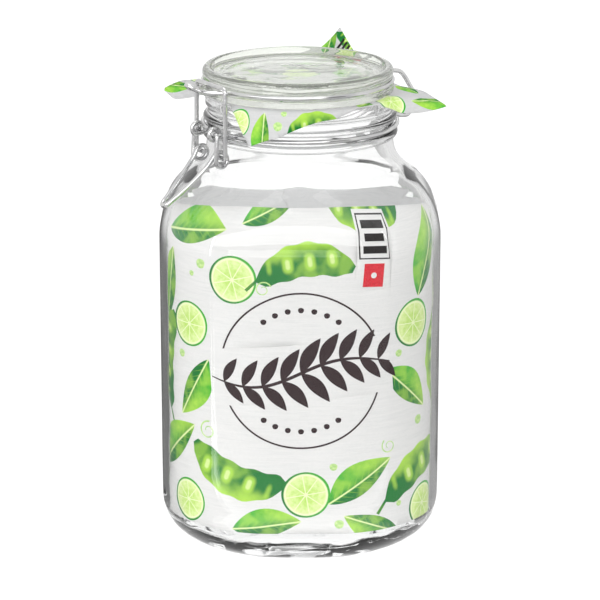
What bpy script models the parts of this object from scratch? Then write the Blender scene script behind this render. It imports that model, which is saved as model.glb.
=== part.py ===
"""Clip top jar: a square glass storage jar with a round neck, a glass lid and a wire clip.

The origin is the centre of the base, +Z up, and the photographed front faces -Y.
The clip lies on one line through the jar's axis. Along it, o runs outward to the latch, so the
rear hinge has a negative o, and t runs across it towards the front.
"""

import math

import bmesh
import bpy
from mathutils import Vector

MM = 0.001

# Driving dimensions, in millimetres and degrees
HALF_WIDTH = 72.4
CORNER_R = 57.0
WALL = 3.4
FLOOR = 7.0
FOOT_R = 52.0
HEEL_H = 24.0
NECK_R = 48.2
MOUTH_INNER_R = 43.6
MOUTH_Z = 235.0
SHOULDER_R = 40.0
SHOULDER_Z = 162.4
NECK_FOOT_Z = 205.0
RIM_R = 48.7
LOWER_BEAD_Z, LOWER_BEAD_R, LOWER_BEAD_H = 215.0, 50.3, 4.4
UPPER_BEAD_Z, UPPER_BEAD_R, UPPER_BEAD_H = 222.9, 49.8, 3.2
JAR_SIDES = 48

SLEEVE_T = 0.4
SLEEVE_GAP = 0.5
SLEEVE_BOTTOM_Z = 19.0
SLEEVE_TOP_Z = 176.5
SLEEVE_SLOPE = 0.16

SHEET_T = 0.3
GAP = 0.35
SHEET_EDGE_R = 49.9

LID_BOTTOM_Z = MOUTH_Z + 2 * GAP + SHEET_T
LID_TOP_Z = 248.8
LID_BAND_R = 49.2
LID_RIM_R = 48.9
LID_GROOVE_R = 46.9
LID_GROOVE_Z = 241.6
LID_SHIFT = 1.3

WIRE_R = 1.2
CLIP_AZIMUTH = 33.0
COLLAR_R = 50.0
COLLAR_Z = 219.4
EYE_T = 8.4
EYE_R = 3.0
PIVOT_O, PIVOT_Z = 56.6, 220.8
LEVER_T = EYE_T + 2 * WIRE_R + 0.3
COIL_O, COIL_Z = 53.8, 207.7
COIL_R = 3.7
COIL_PITCH = 2 * WIRE_R + 0.15
PIN_SEAT = 0.9
BAIL_T = LEVER_T + 2 * WIRE_R + 0.3
BAR_O, BAR_Z = 53.4, LID_GROOVE_Z + 2 * WIRE_R + GAP
LEVER_TIP_O, LEVER_TIP_Z = 82.2, 185.8
NOSE_TIP_O, NOSE_RISE = 67.2, 0.040
NOSE_FLAT_O = 57.0
HINGE_O, HINGE_Z = -61.5, 219.2
HINGE_ARM_T = 10.0
HINGE_EYE_T = HINGE_ARM_T - 2 * WIRE_R - 0.3

# Azimuth, reach beyond the mouth and droop below level, round the paper square's edge
SHEET_EDGE = (
    (-166.0, 0.8, 0.0),
    (-133.0, 0.8, 0.0),
    (-130.0, 3.6, 55.0),
    (-116.0, 21.0, 77.0),
    (-100.6, 15.0, 75.0),
    (-90.0, 9.5, 72.0),
    (-70.0, 5.2, 66.0),
    (-60.0, 2.4, 50.0),
    (-54.0, 0.8, 0.0),
    (-43.0, 0.8, 0.0),
    (-38.0, 3.5, 40.0),
    (-26.8, 9.0, 52.0),
    (-11.3, 27.1, 13.5),
    (0.0, 14.1, 5.0),
    (11.0, 2.9, 6.0),
    (22.0, 0.8, 0.0),
    (45.0, 0.8, 0.0),
    (50.0, 4.0, -55.0),
    (68.0, 25.5, -84.0),
    (93.0, 4.5, -55.0),
    (100.0, 0.8, 0.0),
    (138.0, 0.8, 0.0),
    (150.0, 3.8, -6.0),
    (165.8, 12.5, -11.0),
    (172.0, 21.7, 6.6),
    (180.0, 15.3, 23.0),
    (190.7, 4.3, 22.0),
    (194.0, 0.8, 0.0),
)


# Frame of the clip
CLIP_OUT = Vector((-math.cos(math.radians(CLIP_AZIMUTH)), -math.sin(math.radians(CLIP_AZIMUTH)), 0))
CLIP_ACROSS = Vector((-CLIP_OUT.y, CLIP_OUT.x, 0))


def clip(o, t, z):
    return CLIP_OUT * o + CLIP_ACROSS * t + Vector((0, 0, z))


def clear_scene():
    for obj in list(bpy.data.objects):
        bpy.data.objects.remove(obj, do_unlink=True)


def material(name, colour, roughness, metallic=0.0, transmission=0.0):
    mat = bpy.data.materials.new(name)
    mat.use_nodes = True
    shader = mat.node_tree.nodes["Principled BSDF"]
    shader.inputs["Base Color"].default_value = (*colour, 1.0)
    shader.inputs["Roughness"].default_value = roughness
    shader.inputs["Metallic"].default_value = metallic
    shader.inputs["Transmission Weight"].default_value = transmission
    return mat


# Paths and shapes
def arc(centre, radius, start, end, steps):
    """Points (a, b) along a circular arc, with its angles in degrees."""
    found = []
    for i in range(steps + 1):
        angle = math.radians(start + (end - start) * i / steps)
        found.append((centre[0] + radius * math.cos(angle), centre[1] + radius * math.sin(angle)))
    return found


def rounded(points, radius, step=24):
    """The same route with each inner corner turned into an arc of at most this radius."""
    route = [points[0]]
    for before, corner, after in zip(points, points[1:], points[2:]):
        back, ahead = before - corner, after - corner
        turn = math.pi - back.angle(ahead)
        if turn < math.radians(4):
            route.append(corner)
            continue
        reach = min(radius * math.tan(turn / 2), 0.45 * back.length, 0.45 * ahead.length)
        bend = reach / math.tan(turn / 2)
        middle = (back.normalized() + ahead.normalized()).normalized()
        centre = corner + middle * (bend / math.cos(turn / 2))
        first = corner + back.normalized() * reach - centre
        last = corner + ahead.normalized() * reach - centre
        steps = max(2, math.ceil(math.degrees(turn) / step))
        for i in range(steps + 1):
            share = i * turn / steps
            route.append(centre + (first * math.sin(turn - share) + last * math.sin(share)) / math.sin(turn))
    route.append(points[-1])
    return route


def smooth(points, steps=4):
    """A Catmull-Rom curve through every point."""
    ends = [2 * points[0] - points[1], *points, 2 * points[-1] - points[-2]]
    route = []
    for a, b, c, d in zip(ends, ends[1:], ends[2:], ends[3:]):
        for i in range(steps):
            u = i / steps
            route.append(
                0.5 * (2 * b + (c - a) * u + (2 * a - 5 * b + 4 * c - d) * u * u + (3 * b - a - 3 * c + d) * u**3)
            )
    route.append(points[-1])
    return route


def loop(centre_o, centre_z, radius, start, end, t_start, t_end, steps):
    """A turn of wire in the clip's upright plane, drifting sideways from t_start to t_end."""
    turn = arc((centre_o, centre_z), radius, start, end, steps)
    return [clip(o, t_start + (t_end - t_start) * i / steps, z) for i, (o, z) in enumerate(turn)]


def ring_route(radius, z, start, end, steps, shift=0.0):
    """Points of a level ring, by angle from the latch towards the front."""
    return [clip(o + shift, t, z) for o, t in arc((0, 0), radius, start, end, steps)]


def wire(name, route, mat, origin):
    """One bent wire along a route given in the jar's frame, with its origin on its own pivot."""
    curve = bpy.data.curves.new(name, "CURVE")
    curve.dimensions = "3D"
    curve.bevel_depth = WIRE_R * MM
    curve.bevel_resolution = 2
    curve.use_fill_caps = True
    spline = curve.splines.new("POLY")
    spline.points.add(len(route) - 1)
    for point, place in zip(spline.points, route):
        point.co = (*((place - origin) * MM), 1.0)
    spline.use_smooth = True
    curve.materials.append(mat)
    obj = bpy.data.objects.new(name, curve)
    obj.location = origin * MM
    bpy.context.collection.objects.link(obj)
    return obj


def loft(name, rings, mat):
    """A closed body through rings of equal count, capped at the first and the last."""
    mesh = bmesh.new()
    rows = [[mesh.verts.new(point * MM) for point in ring] for ring in rings]
    for lower, upper in zip(rows, rows[1:]):
        count = len(lower)
        for i in range(count):
            j = (i + 1) % count
            mesh.faces.new((lower[i], lower[j], upper[j], upper[i]))
    mesh.faces.new(reversed(rows[0]))
    mesh.faces.new(rows[-1])
    bmesh.ops.recalc_face_normals(mesh, faces=mesh.faces)
    return finished(name, mesh, mat)


def finished(name, mesh, mat):
    data = bpy.data.meshes.new(name)
    mesh.to_mesh(data)
    mesh.free()
    data.materials.append(mat)
    data.shade_smooth()
    data.set_sharp_from_angle(angle=math.radians(35))
    obj = bpy.data.objects.new(name, data)
    bpy.context.collection.objects.link(obj)
    return obj


def square_point(index, half, corner, z):
    """Point number index of a square with round corners, which is a circle where half equals corner."""
    per_corner = JAR_SIDES // 4
    quarter, step = divmod(index, per_corner)
    angle = math.radians(90 * quarter + 90 * (step + 0.5) / per_corner)
    diagonal = math.radians(90 * quarter + 45)
    straight = (half - corner) * math.sqrt(2)
    return Vector(
        (
            straight * math.cos(diagonal) + corner * math.cos(angle),
            straight * math.sin(diagonal) + corner * math.sin(angle),
            z,
        )
    )


def square_ring(half, corner, z):
    return [square_point(i, half, min(half, corner), z) for i in range(JAR_SIDES)]


# Glass jar
def shoulder_half(z, inset):
    """Half width of the body's outside, or of its inside with the wall as inset, at a height."""
    radius = SHOULDER_R - inset
    if z <= SHOULDER_Z:
        return HALF_WIDTH - inset
    centre = HALF_WIDTH - SHOULDER_R
    slope_z = SHOULDER_Z + radius * math.sqrt(0.5)
    if z <= slope_z:
        return centre + math.sqrt(radius**2 - (z - SHOULDER_Z) ** 2)
    return centre + radius * math.sqrt(0.5) - (z - slope_z)


def bead(z, radius, height, foot_r):
    """Profile of one rounded ring moulded on the neck."""
    rise, half = radius - foot_r, height / 2
    return [
        (foot_r + rise * math.cos(math.radians(angle)), z + half * math.sin(math.radians(angle)))
        for angle in (-90, -50, -10, 30, 90)
    ]


def outer_profile():
    """Rows (half width, corner radius, height) up the outside, from the foot to the mouth."""
    rows = [(FOOT_R, 50.0, 0.0)]
    for angle in (24, 46, 68, 90):
        share = math.radians(angle)
        half = FOOT_R + (HALF_WIDTH - FOOT_R) * math.sin(share)
        rows.append((half, 50.0 + (CORNER_R - 50.0) * math.sin(share), HEEL_H * (1 - math.cos(share))))
    for z in (SHOULDER_Z, 172.0, 181.0, 190.6, 200.0):
        rows.append((shoulder_half(z, 0.0), CORNER_R, z))
    neck = [(NECK_R, NECK_FOOT_Z + 1.5)]
    neck += bead(LOWER_BEAD_Z, LOWER_BEAD_R, LOWER_BEAD_H, NECK_R)
    neck += bead(UPPER_BEAD_Z, UPPER_BEAD_R, UPPER_BEAD_H, NECK_R - 0.4)
    neck += [(NECK_R - 0.6, 227.5), (RIM_R, 229.5), (RIM_R, 233.6), (RIM_R - 1.4, MOUTH_Z)]
    return rows + [(radius, radius, z) for radius, z in neck]


def inner_profile():
    """Rows down the inside, from the mouth to the floor."""
    rows = [(MOUTH_INNER_R + 1.2, 60.0, MOUTH_Z), (MOUTH_INNER_R, 60.0, MOUTH_Z - 1.4)]
    rows.append((MOUTH_INNER_R, 60.0, NECK_FOOT_Z + 1.0))
    for z in (200.5, 188.2, 182.5, 176.0, 169.5, SHOULDER_Z):
        rows.append((shoulder_half(z, WALL), CORNER_R - WALL, z))
    inner_half = HALF_WIDTH - WALL
    for angle in (90, 60, 30, 0):
        share = math.radians(angle)
        half = 50.0 + (inner_half - 50.0) * math.sin(share)
        corner = 46.0 + (CORNER_R - WALL - 46.0) * math.sin(share)
        rows.append((half, corner, FLOOR + 11.0 * (1 - math.cos(share))))
    return rows


def build_jar(mat):
    rings = [square_ring(*row) for row in outer_profile() + inner_profile()]
    return loft("jar_body", rings, mat)


# Printed paper lining, rolled up inside the jar
def sleeve_top(y):
    return SLEEVE_TOP_Z - SLEEVE_SLOPE * y


def sleeve_ring(share, inset):
    """Ring of the lining at a share of its height, held this far inside the jar's outside."""
    ring = []
    for i in range(JAR_SIDES):
        edge = square_point(i, HALF_WIDTH - inset, CORNER_R - inset, 0.0)
        z = SLEEVE_BOTTOM_Z + share * (sleeve_top(edge.y) - SLEEVE_BOTTOM_Z)
        half = shoulder_half(z, inset)
        ring.append(square_point(i, half, min(half, CORNER_R - inset), z))
    return ring


def build_sleeve(mat):
    outside, inside = WALL + SLEEVE_GAP, WALL + SLEEVE_GAP + SLEEVE_T
    shares = (0.0, 0.42, 0.84, 0.89, 0.94, 1.0)
    rings = [sleeve_ring(share, outside) for share in shares]
    rings += [sleeve_ring(share, inside) for share in reversed(shares)]
    mesh = bmesh.new()
    rows = [[mesh.verts.new(point * MM) for point in ring] for ring in rings]
    for lower, upper in zip(rows, rows[1:] + rows[:1]):
        for i in range(JAR_SIDES):
            j = (i + 1) % JAR_SIDES
            mesh.faces.new((lower[i], lower[j], upper[j], upper[i]))
    bmesh.ops.recalc_face_normals(mesh, faces=mesh.faces)
    return finished("paper_sleeve", mesh, mat)


# Glass lid
def lid_profile():
    """Rows (radius, height) over the lid's outside, from its underside's middle to its top's middle."""
    band_top = LID_GROOVE_Z - WIRE_R - GAP - 0.05
    depth = WIRE_R + GAP
    groove = arc((LID_GROOVE_R + depth, LID_GROOVE_Z), depth, 250, 110, 4)
    return [
        (36.0, LID_BOTTOM_Z + 2.6),
        (42.0, LID_BOTTOM_Z + 2.2),
        (43.4, LID_BOTTOM_Z),
        (LID_BAND_R - 0.8, LID_BOTTOM_Z),
        (LID_BAND_R, LID_BOTTOM_Z + 0.8),
        (LID_BAND_R, band_top),
        *groove,
        (LID_RIM_R, LID_GROOVE_Z + 1.9),
        (LID_RIM_R, LID_TOP_Z - 2.2),
        (LID_RIM_R - 0.9, LID_TOP_Z - 0.6),
        (LID_RIM_R - 2.3, LID_TOP_Z),
        (LID_RIM_R - 3.9, LID_TOP_Z - 0.9),
        (42.6, LID_TOP_Z - 3.4),
        (36.0, LID_TOP_Z - 3.8),
        (34.0, LID_TOP_Z - 2.6),
        (31.0, LID_TOP_Z - 2.6),
    ]


def build_lid(mat, pivot):
    full = 360 - 360 / JAR_SIDES
    rings = [
        [point - pivot for point in ring_route(radius, z, 0, full, JAR_SIDES - 1, LID_SHIFT)]
        for radius, z in lid_profile()
    ]
    lid = loft("lid_glass", rings, mat)
    lid.location = pivot * MM
    return lid


# Printed paper square, clamped under the lid
def edge_at(azimuth):
    """Reach and droop of the square's edge at an azimuth. The edge is straight from one point to the next."""
    for (a, reach_a, droop_a), (b, reach_b, droop_b) in zip(SHEET_EDGE, SHEET_EDGE[1:]):
        if a <= azimuth <= b:
            droop = droop_a + (azimuth - a) / (b - a) * (droop_b - droop_a)
            if reach_a == reach_b:
                return reach_a, droop
            near, far = SHEET_EDGE_R + reach_a, SHEET_EDGE_R + reach_b
            whole, done, left = (math.sin(math.radians(turn)) for turn in (b - a, azimuth - a, b - azimuth))
            return near * far * whole / (near * done + far * left) - SHEET_EDGE_R, droop
    return SHEET_EDGE[-1][1:]


def sheet_azimuths():
    found = []
    for (a, _, _), (b, _, _) in zip(SHEET_EDGE, SHEET_EDGE[1:]):
        steps = math.ceil((b - a) / 7.0)
        found += [a + (b - a) * i / steps for i in range(steps)]
    return found


def build_sheet(mat, pivot):
    mid_z = MOUTH_Z + GAP + SHEET_T / 2
    columns = []
    for azimuth in sheet_azimuths():
        reach, droop = edge_at(azimuth)
        r, z = SHEET_EDGE_R, mid_z
        column = [(SHEET_EDGE_R * 0.36, mid_z), (SHEET_EDGE_R * 0.7, mid_z), (r, z)]
        for bend in (0.5, 1.0, 1.0, 1.0):
            angle = math.radians(droop * bend)
            r += reach / 4 * math.cos(angle)
            z -= reach / 4 * math.sin(angle)
            column.append((r, z))
        side = Vector((math.cos(math.radians(azimuth)), math.sin(math.radians(azimuth)), 0))
        columns.append([side * a + Vector((0, 0, b)) - pivot for a, b in column])
    mesh = bmesh.new()
    middle = mesh.verts.new((Vector((0, 0, mid_z)) - pivot) * MM)
    rows = [[mesh.verts.new(point * MM) for point in column] for column in columns]
    for here, ahead in zip(rows, rows[1:] + rows[:1]):
        mesh.faces.new((middle, here[0], ahead[0]))
        for i in range(len(here) - 1):
            mesh.faces.new((here[i], here[i + 1], ahead[i + 1]))
            mesh.faces.new((here[i], ahead[i + 1], ahead[i]))
    sheet = finished("paper_sheet", mesh, mat)
    solid = sheet.modifiers.new("thickness", "SOLIDIFY")
    solid.thickness = SHEET_T * MM
    solid.offset = 0.0
    sheet.location = pivot * MM
    return sheet


# Wire clip
def mirrored(point):
    """The same point on the other side of the clip's line."""
    return point - 2 * CLIP_ACROSS * point.dot(CLIP_ACROSS)


def both_sides(near):
    """A route whose far half mirrors the near half, which ends on or near the clip's line."""
    last = near[-1]
    far = near[:-1] if abs(last.dot(CLIP_ACROSS)) < 0.001 else near
    return near + [mirrored(point) for point in reversed(far)]


def build_collar(mat):
    eye = loop(PIVOT_O, PIVOT_Z, EYE_R, 175, -78, EYE_T, EYE_T, 9)
    on_ring_o = math.sqrt(COLLAR_R**2 - EYE_T**2)
    half_ring = ring_route(COLLAR_R, COLLAR_Z, 19, 161, 15)
    stem = [
        eye[-1],
        clip(PIVOT_O - 3.4, EYE_T, COLLAR_Z - 1.0),
        clip(on_ring_o, EYE_T, COLLAR_Z),
        half_ring[0],
    ]
    at_hinge_o = -math.sqrt(COLLAR_R**2 - HINGE_EYE_T**2)
    hinge_stem = [
        half_ring[-1],
        clip(at_hinge_o, HINGE_EYE_T, COLLAR_Z),
        clip(HINGE_O + 4.5, HINGE_EYE_T, HINGE_Z - EYE_R + 0.4),
        clip(HINGE_O + 0.6, HINGE_EYE_T, HINGE_Z - EYE_R),
    ]
    inner_t = HINGE_EYE_T - COIL_PITCH
    hinge_eye = loop(HINGE_O, HINGE_Z, EYE_R, -100, -425, HINGE_EYE_T, inner_t, 12)
    cross = [
        hinge_eye[-1],
        clip(HINGE_O - 1.0, inner_t - 1.6, HINGE_Z - EYE_R - 0.2),
        clip(HINGE_O - 1.0, 0, HINGE_Z - EYE_R - 0.2),
    ]
    near = eye[:-1] + rounded(stem, 2.2)[:-1] + half_ring + rounded(hinge_stem, 2.2)[1:]
    near += hinge_eye[:-1] + rounded(cross, 1.6)
    return wire("collar_wire", both_sides(near), mat, Vector((0, 0, 0)))


def nose_z(o):
    return LID_GROOVE_Z + NOSE_RISE * max(0.0, o - NOSE_FLAT_O) ** 2


def build_lid_wire(mat, pivot):
    radius = LID_GROOVE_R + WIRE_R + GAP
    pin_end = HINGE_EYE_T - COIL_PITCH - 2.0
    arm = smooth(
        [
            clip(HINGE_O, HINGE_ARM_T, HINGE_Z),
            clip(HINGE_O - 2.4, HINGE_ARM_T, HINGE_Z + 4.8),
            clip(HINGE_O - 2.0, HINGE_ARM_T, HINGE_Z + 10.0),
            clip(HINGE_O + 0.4, HINGE_ARM_T, HINGE_Z + 14.2),
            clip(HINGE_O + 3.1, HINGE_ARM_T, HINGE_Z + 18.3),
            clip(HINGE_O + 6.2, HINGE_ARM_T, LID_GROOVE_Z - 1.1),
            clip(HINGE_O + 10.5, HINGE_ARM_T, LID_GROOVE_Z),
        ],
        3,
    )
    pin = [clip(HINGE_O, pin_end, HINGE_Z), clip(HINGE_O, HINGE_ARM_T, HINGE_Z), arm[2]]
    half_ring = ring_route(radius, LID_GROOVE_Z, 160, 22, 15, LID_SHIFT)
    corner_o = LID_SHIFT - math.sqrt(radius**2 - HINGE_ARM_T**2)
    join = [arm[-1], clip(corner_o, HINGE_ARM_T, LID_GROOVE_Z), half_ring[0]]
    strand = [(48.2, 13.6), (50.8, 10.4), (54.5, 7.6), (59.0, 5.4), (62.8, 4.0)]
    nose = smooth([half_ring[-1]] + [clip(o, t, nose_z(o)) for o, t in strand], 3)
    tip_r = 2.8
    tip = []
    for angle in (15, 40, 65, 90):
        share = math.radians(angle)
        o = NOSE_TIP_O - tip_r + tip_r * math.sin(share)
        tip.append(clip(o, tip_r * math.cos(share), nose_z(o)))
    near = rounded(pin, 1.4)[:-1] + arm[2:-1] + rounded(join, 2.4)[:-1]
    near += half_ring[:-1] + nose + tip
    return wire("lid_wire", both_sides(near), mat, pivot)


def build_bail(mat, pivot):
    pin_end = LEVER_T - COIL_PITCH - 1.6
    corners = [
        clip(COIL_O, pin_end, COIL_Z + PIN_SEAT),
        clip(COIL_O, BAIL_T, COIL_Z + PIN_SEAT),
        clip(BAR_O, BAIL_T, BAR_Z),
        clip(BAR_O, 0, BAR_Z),
    ]
    return wire("bail", both_sides(rounded(corners, 2.4)), mat, pivot)


def build_lever(mat, pivot):
    inner_t = LEVER_T - COIL_PITCH
    coil = loop(COIL_O, COIL_Z, COIL_R, 4.0, -323.0, LEVER_T, inner_t, 13)
    pin = [clip(PIVOT_O, EYE_T - 2.4, PIVOT_Z), clip(PIVOT_O, LEVER_T, PIVOT_Z), coil[0]]
    long_arm = [
        coil[-1],
        clip(60.2, 7.9, 205.2),
        clip(66.4, 6.5, 199.0),
        clip(72.8, 4.9, 193.3),
        clip(LEVER_TIP_O - 4.2, 3.2, LEVER_TIP_Z + 3.2),
        clip(LEVER_TIP_O - 1.8, 2.5, LEVER_TIP_Z + 1.3),
        clip(LEVER_TIP_O - 0.5, 1.3, LEVER_TIP_Z + 0.3),
        clip(LEVER_TIP_O, 0, LEVER_TIP_Z),
    ]
    near = rounded(pin, 1.8)[:-1] + coil[:-1] + smooth(long_arm, 2)
    return wire("lever", both_sides(near), mat, pivot)


def main():
    clear_scene()
    glass = material("clear_glass", (0.93, 0.96, 0.93), 0.02, transmission=1.0)
    steel = material("steel_wire", (0.62, 0.62, 0.61), 0.22, metallic=1.0)
    lining = material("lining_paper", (0.88, 0.9, 0.86), 0.75)
    cover = material("cover_paper", (0.9, 0.92, 0.88), 0.75)
    lid_pivot = clip(HINGE_O, 0, HINGE_Z)
    build_jar(glass)
    build_sleeve(lining)
    build_collar(steel)
    build_lid(glass, lid_pivot)
    build_lid_wire(steel, lid_pivot)
    build_sheet(cover, lid_pivot)
    build_lever(steel, clip(PIVOT_O, 0, PIVOT_Z))
    build_bail(steel, clip(COIL_O, 0, COIL_Z + PIN_SEAT))


main()
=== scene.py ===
"""Clip top jar: the looks of the glass, wire and printed paper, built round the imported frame.

Lengths are in millimetres in the making of each piece, and in metres once it is made.
The clip lies on one line through the jar's axis: o runs outward along it to the latch, and t
runs across it towards the front. A name that ends in _R is a radius, in _Z a height above the
table, and in _O or _T a place along the clip's line or across it.
"""

import math

import bmesh
import bpy
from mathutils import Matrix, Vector
from mathutils.geometry import delaunay_2d_cdt


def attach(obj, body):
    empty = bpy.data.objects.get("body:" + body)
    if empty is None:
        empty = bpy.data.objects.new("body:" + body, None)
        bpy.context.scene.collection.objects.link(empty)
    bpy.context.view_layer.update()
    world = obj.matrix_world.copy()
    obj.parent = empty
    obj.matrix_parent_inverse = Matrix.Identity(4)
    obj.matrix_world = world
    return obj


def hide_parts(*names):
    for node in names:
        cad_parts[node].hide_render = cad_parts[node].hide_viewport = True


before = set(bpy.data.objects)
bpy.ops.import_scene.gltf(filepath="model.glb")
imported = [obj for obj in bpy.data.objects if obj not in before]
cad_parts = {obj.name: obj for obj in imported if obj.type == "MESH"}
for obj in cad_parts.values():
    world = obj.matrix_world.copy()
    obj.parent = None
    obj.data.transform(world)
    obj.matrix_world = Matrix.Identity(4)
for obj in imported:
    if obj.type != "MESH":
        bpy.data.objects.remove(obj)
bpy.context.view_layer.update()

MM = 0.001

# Jar. Its plan is a circle up to ROUND_HALF, and squarer where it is wider.
HALF_WIDTH = 72.4
CORNER_R = 57.0
ROUND_HALF = 50.0
ROUND_HALF_INSIDE = 47.0
WALL = 3.4
FOOT_R = 52.0
HEEL_HEIGHT = 24.0
FLOOR_Z = 7.0
FLOOR_R = 50.0
INNER_HEEL_HEIGHT = 11.0
SHOULDER_R = 40.0
SHOULDER_Z = 162.4
ROUND_ABOVE_Z = SHOULDER_Z + 30.0
NECK_R = 48.2
NECK_HOLLOW_R = 18.0
INNER_NECK_HOLLOW_R = 22.6
MOUTH_INNER_R = 43.6
MOUTH_Z = 235.0
RIM_R = 48.7
RIM_EDGE_R = 1.4
LIP_R = 0.9
GLASS_SIDES = 144

# Unevenness of the pressed heel, which fades out towards WAVY_TOP_Z: a wave up and down, in
# millimetres, and a sway in and out, as a share of the width
WAVY_TOP_Z = 30.0
WAVY_FADE = 12.0
WAVY_FROM_R = 25.0
OUTSIDE_WAVE, OUTSIDE_SWAY = 0.16, 0.00105
INSIDE_WAVE, INSIDE_SWAY = 0.95, 0.003

# Beads round the neck: height of the middle, radius and width
LOWER_BEAD = (215.0, 50.3, 4.4)
UPPER_BEAD = (222.9, 49.8, 3.2)

# Papers. The lining's top falls by SLEEVE_SLOPE for each millimetre towards the back. SLEEVE_WIND
# is how far the lining lies inward at the front's middle, and how much more after one turn.
GAP = 0.35
PAPER_THICK = 0.16
SLEEVE_INSET = WALL + 0.62
SLEEVE_BOTTOM_Z = 19.0
SLEEVE_TOP_Z = 176.5
SLEEVE_SLOPE = 0.16
SLEEVE_HALF_OVERLAP = 7.0
SLEEVE_WIND = (0.10, 0.24)
SLEEVE_RIPPLE = 0.05
SLEEVE_RUN_STEP, SLEEVE_Z_STEP = 3.5, 4.0
SHEET_EDGE_R = 49.9
SHEET_MID_Z = MOUTH_Z + GAP + 0.15
SHEET_WAVE = 0.35
SHEET_REACH = 80.0
SHEET_STEP = 2.4
SHEET_EDGE_STEP = 1.5

# Edge of the square under the lid: azimuth, reach past the mouth, and droop in degrees
SHEET_EDGE = (
    (-166.0, 0.8, 0.0),
    (-133.0, 0.8, 0.0),
    (-130.0, 3.6, 55.0),
    (-116.0, 21.0, 77.0),
    (-100.6, 15.0, 75.0),
    (-90.0, 9.5, 72.0),
    (-70.0, 5.2, 66.0),
    (-60.0, 2.4, 50.0),
    (-54.0, 0.8, 0.0),
    (-43.0, 0.8, 0.0),
    (-38.0, 3.5, 40.0),
    (-26.8, 9.0, 52.0),
    (-11.3, 27.1, 13.5),
    (0.0, 14.1, 5.0),
    (11.0, 2.9, 6.0),
    (22.0, 0.8, 0.0),
    (45.0, 0.8, 0.0),
    (50.0, 4.0, -55.0),
    (68.0, 25.5, -84.0),
    (93.0, 4.5, -55.0),
    (100.0, 0.8, 0.0),
    (138.0, 0.8, 0.0),
    (150.0, 3.8, -6.0),
    (165.8, 12.5, -11.0),
    (172.0, 21.7, 6.6),
    (180.0, 15.3, 23.0),
    (190.7, 4.3, 22.0),
    (194.0, 0.8, 0.0),
)

# Lid
LID_BOTTOM_Z = MOUTH_Z + 2 * GAP + 0.3
LID_TOP_Z = 248.8
LID_BAND_R = 49.2
LID_BAND_EDGE_R = 0.9
LID_RIM_R = 48.9
LID_RIM_EDGE_R = 2.4
LID_GROOVE_R = 46.9
LID_GROOVE_Z = 241.6
LID_SHIFT = 1.3

# Wire clip. The wire is drawn a hair thinner than it is, so that wires that touch stay apart.
WIRE_R = 1.2
WIRE_DRAWN_R = 0.995 * WIRE_R
WIRE_GAP = 0.3
BEND_STEP = 9.0
CLIP_AZIMUTH = 33.0
COLLAR_R = 50.0
COLLAR_Z = 219.4
EYE_T = 8.4
EYE_R = 3.0
PIVOT_O, PIVOT_Z = 56.6, 220.8
LEVER_T = EYE_T + 2 * WIRE_R + WIRE_GAP
COIL_O, COIL_Z = 53.8, 207.7
COIL_R = 3.7
COIL_PITCH = 2 * WIRE_R + 0.15
PIN_SEAT = 0.9
BAIL_T = LEVER_T + 2 * WIRE_R + WIRE_GAP
BAR_O, BAR_Z = 53.4, LID_GROOVE_Z + 2 * WIRE_R + GAP
LEVER_TIP_O, LEVER_TIP_Z = 82.2, 185.8
NOSE_TIP_O, NOSE_TIP_R = 67.2, 2.8
NOSE_FLAT_O, NOSE_RISE = 57.0, 0.040
HINGE_O, HINGE_Z = -61.5, 219.2
HINGE_ARM_T = 10.0
HINGE_EYE_T = HINGE_ARM_T - 2 * WIRE_R - WIRE_GAP

# Photograph's view
VIEW_PITCH = 16.5
VIEW_DISTANCE = 1523.0
VIEW_TARGET_Z = 122.97
LENS_MM = 174.4
SENSOR_MM = 36.0

# Colours, as linear light
LINING_WHITE = (0.745, 0.74, 0.73)
# The lining's back is painted lighter than its face: painted light that shines through the thin paper
LINING_BACK_LIT = (0.80, 0.80, 0.80)
# The square's paper is the lining's white paper painted darker: painted shade
COVER_SHADED_WHITE = (0.57, 0.57, 0.57)
LEAF_DARK = (0.001, 0.17, 0.022)
LEAF_MID = (0.045, 0.40, 0.025)
LEAF_LIME = (0.40, 0.68, 0.07)
LEAF_PALE = (0.74, 0.86, 0.40)
INK_BROWN = (0.014, 0.001, 0.003)
INK_BLACK = (0.012, 0.010, 0.010)
INK_RED = (0.52, 0.008, 0.02)
STEEL_DULL = (0.64, 0.64, 0.65)
STEEL_BRIGHT = (0.82, 0.82, 0.81)
JAR_TINT = (0.994, 0.996, 0.994)
LID_TINT = (0.87, 0.89, 0.84)
LAMP_TINT = (0.985, 0.985, 0.985)


# Shader maths
class Tone:
    """A value or colour socket of a node tree, on which + - * ** and abs work as on numbers."""

    def __init__(self, nodes, socket):
        self.nodes = nodes
        self.socket = socket

    def maths(self, operation, *others, swap=False):
        terms = [self, *others]
        if swap:
            terms.reverse()
        return self.nodes.node("ShaderNodeMath", {"operation": operation}, dict(enumerate(terms)))

    def __add__(self, other):
        return self.maths("ADD", other)

    __radd__ = __add__

    def __sub__(self, other):
        return self.maths("SUBTRACT", other)

    def __rsub__(self, other):
        return self.maths("SUBTRACT", other, swap=True)

    def __mul__(self, other):
        return self.maths("MULTIPLY", other)

    __rmul__ = __mul__

    def __pow__(self, other):
        return self.maths("POWER", other)

    def __abs__(self):
        return self.maths("ABSOLUTE")

    def most(self, other):
        return self.maths("MAXIMUM", other)

    def sine(self):
        return self.maths("SINE")

    def ramp(self, low, high, start=0.0, end=1.0, linear=False):
        """Goes from start to end as this value goes from low to high, and eases in and out unless linear."""
        return self.nodes.node(
            "ShaderNodeMapRange",
            {"interpolation_type": "LINEAR" if linear else "SMOOTHSTEP"},
            {"Value": self, "From Min": low, "From Max": high, "To Min": start, "To Max": end},
        )


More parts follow.
